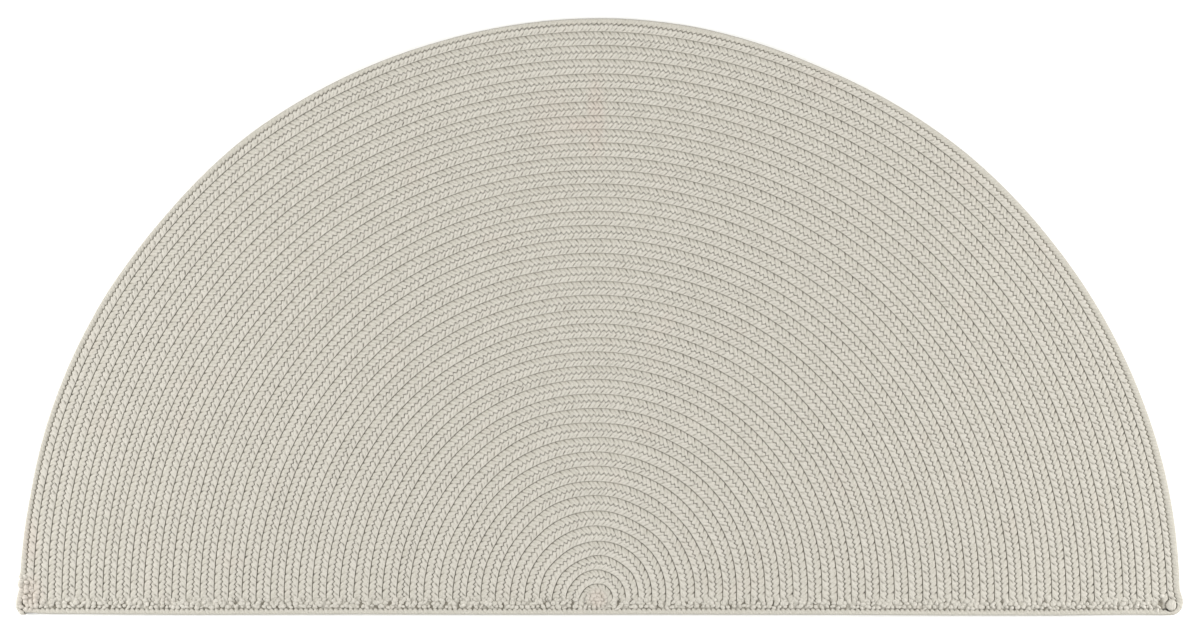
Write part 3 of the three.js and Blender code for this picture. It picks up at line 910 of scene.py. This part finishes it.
def edgeStrip(name, material):
    draw = np.random.default_rng(77)
    places, outs, widths, swing, sides, lean, isLow = stripCourse()
    walked = np.concatenate([[0], np.cumsum(np.linalg.norm(np.diff(places, axis=0), axis=1))])
    count = len(walked)
    knots = count // 4 + 2
    heights = draw.normal(0, strip["heightJitter"], knots)
    height = np.interp(np.arange(count) / 4, np.arange(knots), heights)
    hole = (sides > 0) * draw.normal(1, strip["holeJitter"], count).clip(0.3, 1.7)
    hole = hole * ~((places[:, 0] < strip["seamFrom"]) & (places[:, 1] < tuft["corner"]["high"]))
    inSeam = isLow & (places[:, 0] > strip["seamFrom"])
    points, yarn, groove = [], [], []
    for across, level, swings, lines, holes in strip["section"]:
        at = np.clip(walked + (across - strip["leanFrom"]) * coil["edgeWidth"] * lean, 0, walked[-1])
        x, y, outX, outY, width = (np.interp(at, walked, values) for values in
                                   (places[:, 0], places[:, 1], outs[:, 0], outs[:, 1], widths))
        reach = across * width + swing * swings
        holeDepth = np.where(isLow, strip["lowHoles"], strip["arcHoles"])
        sink = (sides > 0) * strip["lines"] * lines + hole * holes * holeDepth
        between = strip["lowBetween"] * isLow * (sides < 0) * (across < 0)
        z = level + (height - sink + between) * (level > 4)
        points.append(np.stack([x + outX * reach, y + outY * reach, np.maximum(z, 0)], -1))
        yarn.append(np.stack([walked * strip["yarns"] / stitch["pitch"], np.full(count, across * 9),
                              np.full(count, 3.1)], -1))
        # painted shade down in the seam, the lower the yarn lies
        inner = np.clip((strip["shadeBelow"] - z) * strip["shadeRate"], 0, strip["shadeMost"]) * (level > 4)
        # both needle holes of a stitch show as dark dots of painted shade along the cut
        dots = np.where(sides > 0, across < 0.2, (sides < 0) * (across < 0))
        dotted = np.maximum(inner * strip["lowShade"], strip["dotShade"] * dots * inSeam)
        # painted shade on the outer side of the strip
        rim = np.clip((across - strip["rimFrom"]) * strip["rimShade"], 0, strip["rimShadeMost"])
        groove.append(np.where(isLow, dotted, inner) if across < 0.3 else np.full(count, rim))
    points, yarn, groove = np.array(points), np.array(yarn), np.array(groove)
    index = np.arange(points.shape[0] * points.shape[1]).reshape(points.shape[:2])
    quads = gridQuads(np.concatenate([index, index[:1]]))
    first, last = index[:, 0], index[:, -1]
    caps = [(first[0], first[i], first[i + 1]) for i in range(1, len(first) - 1)]
    caps += [(last[0], last[i + 1], last[i]) for i in range(1, len(last) - 1)]
    return pieceFromArrays(name, points.reshape(-1, 3), quads, caps,
                           {"yarn": yarn.reshape(-1, 3), "groove": groove.ravel(),
                            "tone": np.full(groove.size, strip["tone"]),
                            "ply": np.full(groove.size, strip["ply"]),
                            "blush": blushAt(points.reshape(-1, 3))}, material)


edgePiece = edgeStrip("edge_strip_yarn", braidYarn)
print("edge strip sewn on")

tuftPiece = cutEndTufts("cut_end_tufts", braidYarn)
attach(tuftPiece, "root")
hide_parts("rug_body")
print("ends pressed down")

for piece, (name, first, last) in zip(bandPieces, bands):
    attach(piece, "root")
    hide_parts("rug_body")
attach(edgePiece, "root")
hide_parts("edge_strip")

# plain pale floor
studio = {
    "floorSize": 12.0, "floorColour": "#fafaf8", "floorRoughness": 0.9, "floorSpecular": 0.1,
    "sideLight": 125.4, "sideSize": 1.6, "sideReach": 3.0, "sideHeight": 1.35,
    "fill": 0.58,
    "lens": 100.0, "mmPerPixel": 1.0459,
    "photoWidth": 1200, "photoHeight": 634,
    "centrePixel": (596.5, 600.5),     # where the coil's centre lies in the photograph
}


def buildStudio(values):
    bpy.ops.object.select_all(action="DESELECT")
    bpy.ops.mesh.primitive_plane_add(size=values["floorSize"], location=(0, 0, 0))
    floor = bpy.context.object
    floor.name = "studio_floor"
    # rolled floor paint: pale, even and nearly without shine
    material, tree = newMaterial("pale_floor_paint")
    shader = addNode(tree, "ShaderNodeBsdfPrincipled", {
        "Base Color": toLinear(values["floorColour"]), "Roughness": values["floorRoughness"],
        "Specular IOR Level": values["floorSpecular"]})
    addNode(tree, "ShaderNodeOutputMaterial", {"Surface": shader.outputs["BSDF"]})
    floor.data.materials.append(material)

    aim = Vector((0, 0, 0.005))
    for name, side in (("left_softbox", -1), ("right_softbox", 1)):
        place = Vector((side * values["sideReach"], 0.0, values["sideHeight"]))
        bpy.ops.object.light_add(type="AREA", location=place)
        light = bpy.context.object
        light.name = name
        light.data.shape = "SQUARE"
        light.data.size = values["sideSize"]
        light.data.energy = values["sideLight"]
        light.rotation_euler = (aim - place).to_track_quat("-Z", "Y").to_euler()

    world = bpy.data.worlds.new("studio_fill")
    world.use_nodes = True
    world.node_tree.nodes["Background"].inputs["Color"].default_value = (1, 1, 1, 1)
    world.node_tree.nodes["Background"].inputs["Strength"].default_value = values["fill"]
    bpy.context.scene.world = world
    bpy.context.scene.view_settings.view_transform = "Standard"

    # straight down, framed as the photograph is
    scale = values["mmPerPixel"] * mm
    middleX = coilCentre.x + (values["photoWidth"] / 2 - values["centrePixel"][0]) * scale
    middleY = coilCentre.y + (values["centrePixel"][1] - values["photoHeight"] / 2) * scale
    spanWide = values["photoWidth"] * scale
    bpy.ops.object.camera_add()
    camera = bpy.context.object
    camera.data.lens = values["lens"]
    distance = spanWide / camera.data.sensor_width * values["lens"]
    camera.location = (middleX, middleY, distance + cadHigh.z)
    camera.rotation_euler = (0, 0, 0)
    bpy.context.scene.camera = camera


buildStudio(studio)
print("studio set")
